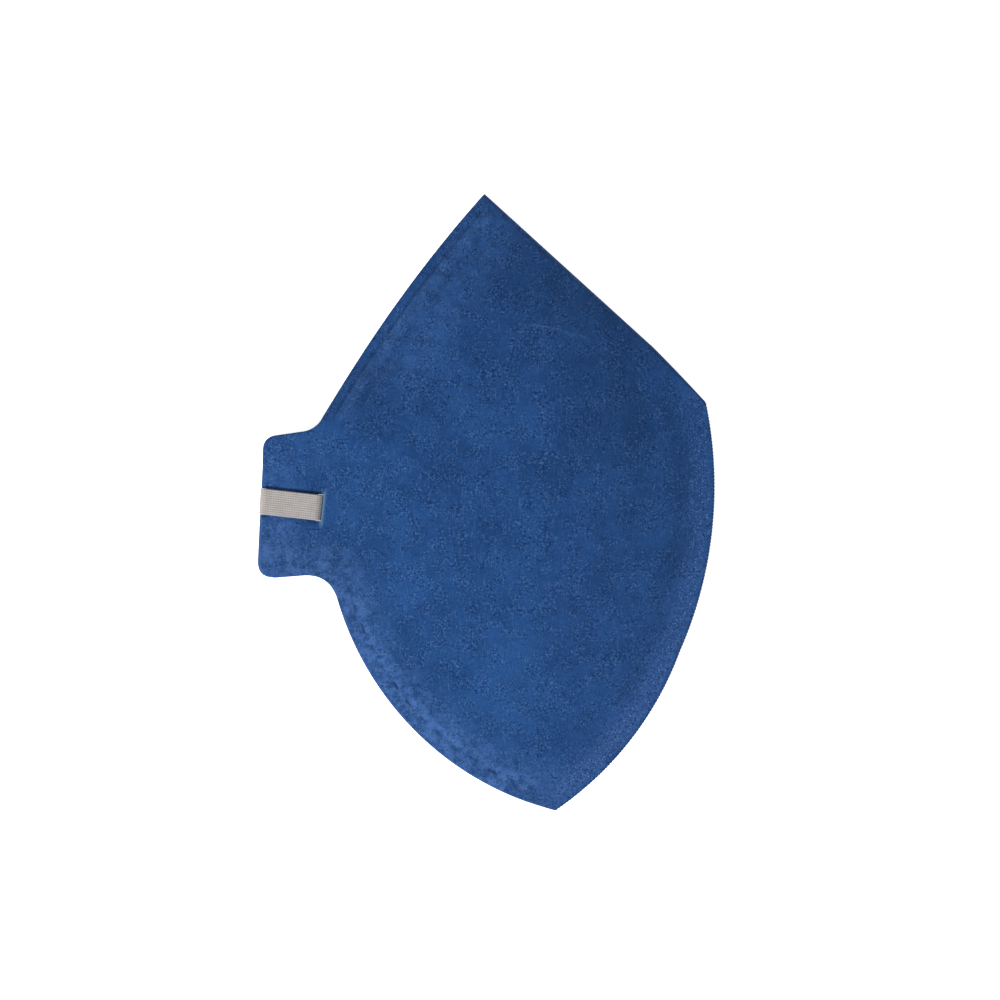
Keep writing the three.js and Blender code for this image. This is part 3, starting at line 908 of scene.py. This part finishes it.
def make_outer_cloth():
    m = Material("nonwoven", roughness=0.9, specular=0.08, sheen=0.1, sheen_roughness=0.5)
    m.shader.inputs["Sheen Tint"].default_value = colour(0.35, 0.55, 1)
    cloud = m.noise(14 * MM, 5, 0.74)
    welded, boss = m.attribute("welded"), m.attribute("boss")
    patch = m.ramp(m.noise(4.2 * MM, 3, 0.65), 0.4, 0.57, 0.2, 1.0)
    patch = m.math("MAXIMUM", patch, welded)
    margin_share = m.attribute("margin")
    speck = m.noise(0.52 * MM, 2, 0.65)
    strokes = fibres(m, 0.3 * MM)
    # Painted light: along the margin the cloth gets fewer dark specks, more pale ones and pale tufts, partly
    # for fibres that stand up.
    dark = m.math("MULTIPLY", patch, m.ramp(speck, 0.48, 0.35))
    dark = m.math("MULTIPLY", dark, m.ramp(margin_share, 0, 1, 1, 0.6))
    light = m.math("MULTIPLY", m.math("MAXIMUM", patch, margin_share), m.ramp(speck, 0.53, 0.69))
    base = m.mix(m.ramp(cloud, 0.31, 0.69), colour(*CLOTH_DARK), colour(*CLOTH_LIGHT))
    tufts = m.math("MULTIPLY_ADD", m.noise(4.6 * MM, 2, 0.6), 0.6, m.noise(1.7 * MM, 3, 0.65))
    raised_tufts_and_light = m.ramp(tufts, 0.65, 0.95, 0.16, 0.87)
    base = m.mix(m.math("MULTIPLY", margin_share, raised_tufts_and_light), base, colour(*CLOTH_PALE_AND_LIT))
    base = m.mix(m.math("MULTIPLY", welded, 0.34), base, colour(*CLOTH_PALE_AND_LIT))
    base = m.mix(dark, base, colour(*CLOTH_DEEP))
    base = m.mix(m.math("MULTIPLY", light, 0.6), base, colour(*CLOTH_FUZZ))
    base = m.mix(m.ramp(strokes, 0.64, 0.8, 0, 0.35), base, colour(*CLOTH_FUZZ))

    # In the seam's weld the web is pressed to a film between rows of bosses.
    film = m.math("MULTIPLY", welded, m.ramp(boss, 0.3, 0.05))
    base = m.mix(m.math("MULTIPLY", film, 0.25), base, colour(*WELD_FILM_AND_RIM_SHADE))
    base = m.mix(m.ramp(boss, 0.25, 0.8, 0, 0.75), base, colour(*WELD_TIP))
    dashed = m.attribute("dashed")
    base = m.mix(m.math("MULTIPLY", dashed, 0.6), base, colour(*CLOTH_DEEP))
    # Painted shade: a dark line along the whole rim, fold included, where the rounded edge turns away.
    base = m.mix(m.math("MULTIPLY", m.attribute("rim"), 0.6), base, colour(*WELD_FILM_AND_RIM_SHADE))
    # The slit's lip: pale cut fibres and a painted highlight; the crease is tinted paler too, and the clip's
    # ridge gets a faint painted highlight.
    base = m.mix(m.math("MULTIPLY", m.attribute("lip"), 0.8), base, colour(*CUT_FIBRES_AND_HIGHLIGHT))

    fuzz = m.math("MULTIPLY_ADD", strokes, 0.6, speck)
    normal = m.bump(fuzz, 0.14 * MM)
    melted = m.math("MAXIMUM", m.math("MULTIPLY", film, 0.6), dashed)
    return m.finish(base, normal, m.ramp(melted, 0.0, 1.0, 0.88, 0.6))


def make_lining_cloth():
    m = Material("nonwoven_lining", roughness=0.8, specular=0.3, sheen=0.12, sheen_roughness=0.4)
    cloud = m.noise(12 * MM, 3)
    speck = m.noise(0.6 * MM, 3, 0.65)
    strokes = fibres(m, 0.28 * MM)
    base = m.mix(m.ramp(cloud, 0.3, 0.7), colour(*LINING_DARK), colour(*LINING_LIGHT))
    base = m.mix(m.ramp(speck, 0.5, 0.75, 0, 0.25), base, colour(*CLOTH_FUZZ))
    base = m.mix(m.ramp(strokes, 0.62, 0.78, 0, 0.25), base, colour(*CLOTH_FUZZ))
    return m.finish(base, m.bump(m.math("ADD", strokes, speck), 0.08 * MM))


def make_filter_cloth():
    m = Material("nonwoven_filter", roughness=0.95, specular=0.2, sheen=0.3, sheen_roughness=0.5)
    speck = m.noise(0.4 * MM, 3, 0.7)
    base = m.mix(m.ramp(speck, 0.35, 0.65), colour(*FILTER_SHADE), colour(*FILTER_WHITE))
    return m.finish(base, m.bump(speck, 0.12 * MM))


def make_elastic_knit():
    m = Material("elastic", roughness=0.72, specular=0.35, sheen=0.15, sheen_roughness=0.4)
    mapped = m.nodes.new("ShaderNodeUVMap")
    mapped.uv_map = "knit"
    split = m.nodes.new("ShaderNodeSeparateXYZ")
    m.links.new(mapped.outputs[0], split.inputs[0])
    across, along = split.outputs[0], split.outputs[1]

    def wave(value, pitch, shift=0.0):
        turned = m.math("MULTIPLY_ADD", value, 2 * math.pi / pitch, shift)
        return m.math("MULTIPLY_ADD", m.math("COSINE", turned), 0.5, 0.5)

    rib = STRAP_WIDTH / STRAP_RIBS
    ribs = wave(across, rib, math.pi * (STRAP_RIBS + 1))
    lean = m.math("MULTIPLY", m.math("PINGPONG", across, rib / 2), 0.9)
    stitches = wave(m.math("ADD", along, lean), STITCH)
    loops = m.math("MULTIPLY", ribs, stitches)
    uneven = m.noise(1.7 * MM, 3, 0.6)
    yarn = m.noise(0.22 * MM, 2, 0.6)
    base = m.mix(m.ramp(uneven, 0.3, 0.7), colour(*ELASTIC_SHADE), colour(*ELASTIC_LIGHT))
    # Painted shade: the hollows between the knit's loops are a little darker.
    base = m.mix(m.ramp(loops, 0.25, 0.0, 0, 0.14), base, colour(*ELASTIC_DEEP))
    base = m.mix(m.ramp(yarn, 0.35, 0.7, 0, 0.2), base, colour(*ELASTIC_DEEP))
    normal = m.bump(m.math("MULTIPLY_ADD", yarn, 0.5, loops), 0.06 * MM)
    return m.finish(base, normal)


def mark_welds(shell):
    """Tells the material where the welds and the slit's lips are, with painted shade along the rim, painted
    light on the lumpy margin and painted highlights on the lips and the clip's ridge.
    """
    mesh = shell.data
    places = np.empty(3 * len(mesh.vertices))
    mesh.vertices.foreach_get("co", places)
    normals = np.empty(3 * len(mesh.vertices))
    mesh.vertices.foreach_get("normal", normals)
    points = places.reshape(-1, 3)[:, :2]
    near, far = Place(points, NEAR_FACE), Place(points, FAR_FACE)
    upward = normals.reshape(-1, 3)[:, 2] > 0
    band = smooth((near.to_seam - 0.3 * MM) / (0.8 * MM))
    band *= 1 - smooth((near.to_seam - SEAM_WIDTH + 3 * MM) / (7 * MM))
    band *= lerp(1, 0.35, smooth(near.along_seam / SEAM_LENGTH * 1.4 - 0.3))  # weaker towards the front
    crease = np.exp(-((distance_along(points, CREASE)[0] / (0.3 * MM)) ** 2)) * upward
    crease *= np.clip(0.6 + 1.6 * noise_at(points, 1.6 * MM, 45), 0, 1)
    to_rim = np.minimum(near.to_seam, np.minimum(near.to_fold, np.minimum(near.to_face, far.to_face)))
    values = {
        "boss": seam_bosses(near) * upward,  # the far side's weld is flat
        "welded": band,
        "dashed": np.where(upward, np.maximum(dashes(near), 0.75 * clip_welds(near)), dashes(far)),
        # Painted shade along the rim.
        "rim": 1 - smooth(to_rim / (0.5 * MM)),
        # Painted light on the margin and the brow, and a painted highlight on the clip's ridge.
        "margin": np.maximum(margin(near), np.maximum(0.3 * over_clip(near), 0.3 * clip_ridge(near))),
        # Painted highlight on the slit's lip and the clip's ridge, and a paler crease.
        "lip": np.maximum(slit_lip(near) / (0.3 * MM), np.maximum(0.36 * crease, 0.05 * clip_ridge(near))),
    }
    for name, value in values.items():
        mesh.attributes.new(name, "FLOAT", "POINT").data.foreach_set("value", value.astype(np.float32))


# --- Camera, floor and lights ---

PHOTO_CENTRE = point(3.55, 0.61)  # what the middle of the photograph shows
PHOTO_WIDTH = 259.8 * MM
CAMERA_HEIGHT = 1.25  # m
RIM_HEIGHT = 1.5 * MM  # the photograph's scale holds at the seam
SENSOR = 36  # mm
FLOOR_HALF = 2  # m, half a side
FLOOR_DROP = 0.1 * MM  # below the mask, so that the two don't touch
FLOOR_GREY = 0.93
FLOOR_GLOW = 0.68  # the photograph's ground is nearly white
WORLD_STRENGTH = 0.65
KEY_PLACE = (-0.54, -0.645, 0.77)
KEY_SIZE = 0.5  # m
KEY_POWER = 20.8  # W


def make_camera():
    camera = bpy.data.objects.new("camera", bpy.data.cameras.new("camera"))
    camera.data.sensor_width = SENSOR
    camera.data.lens = SENSOR * (CAMERA_HEIGHT - RIM_HEIGHT) / PHOTO_WIDTH
    camera.data.clip_start = 0.05
    camera.data.clip_end = 20
    camera.location = (*PHOTO_CENTRE, CAMERA_HEIGHT)
    bpy.context.scene.collection.objects.link(camera)
    bpy.context.scene.camera = camera


def make_floor():
    half = FLOOR_HALF
    corners = [(-half, -half, 0), (half, -half, 0), (half, half, 0), (-half, half, 0)]
    mesh = bpy.data.meshes.new("floor")
    mesh.from_pydata(corners, [], [(0, 1, 2, 3)])
    floor = add_object("floor", mesh)
    floor.location.z = -FLOOR_DROP
    m = Material("pale_floor", roughness=0.9, specular=0.1, sheen=0, sheen_roughness=0.5)
    m.shader.inputs["Base Color"].default_value = colour(FLOOR_GREY, FLOOR_GREY, FLOOR_GREY)
    m.shader.inputs["Emission Color"].default_value = colour(1, 1, 1)
    m.shader.inputs["Emission Strength"].default_value = FLOOR_GLOW
    mesh.materials.append(m.material)
    return floor


def make_light(name, place, size, power):
    light = bpy.data.lights.new(name, "AREA")
    light.shape = "DISK"
    light.size = size
    light.energy = power
    lamp = bpy.data.objects.new(name, light)
    lamp.location = place
    lamp.rotation_euler = (-Vector(place)).to_track_quat("-Z", "Y").to_euler()
    bpy.context.scene.collection.objects.link(lamp)


def make_world(strength):
    world = bpy.data.worlds.new("studio")
    world.use_nodes = True
    background = world.node_tree.nodes["Background"]
    background.inputs["Color"].default_value = colour(1, 1, 1)
    background.inputs["Strength"].default_value = strength
    bpy.context.scene.world = world


# --- The scene ---

make_camera()
bpy.context.scene.view_settings.view_transform = "Standard"
outer_cloth = make_outer_cloth()
lining_cloth = make_lining_cloth()
filter_cloth = make_filter_cloth()
elastic_knit = make_elastic_knit()

shell = make_shell()
mark_welds(shell)
strap = make_strap()
floor = make_floor()
make_world(WORLD_STRENGTH)
make_light("key", KEY_PLACE, KEY_SIZE, KEY_POWER)

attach(shell, "root")
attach(strap, "root")
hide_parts("mask_shell")
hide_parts("head_strap")
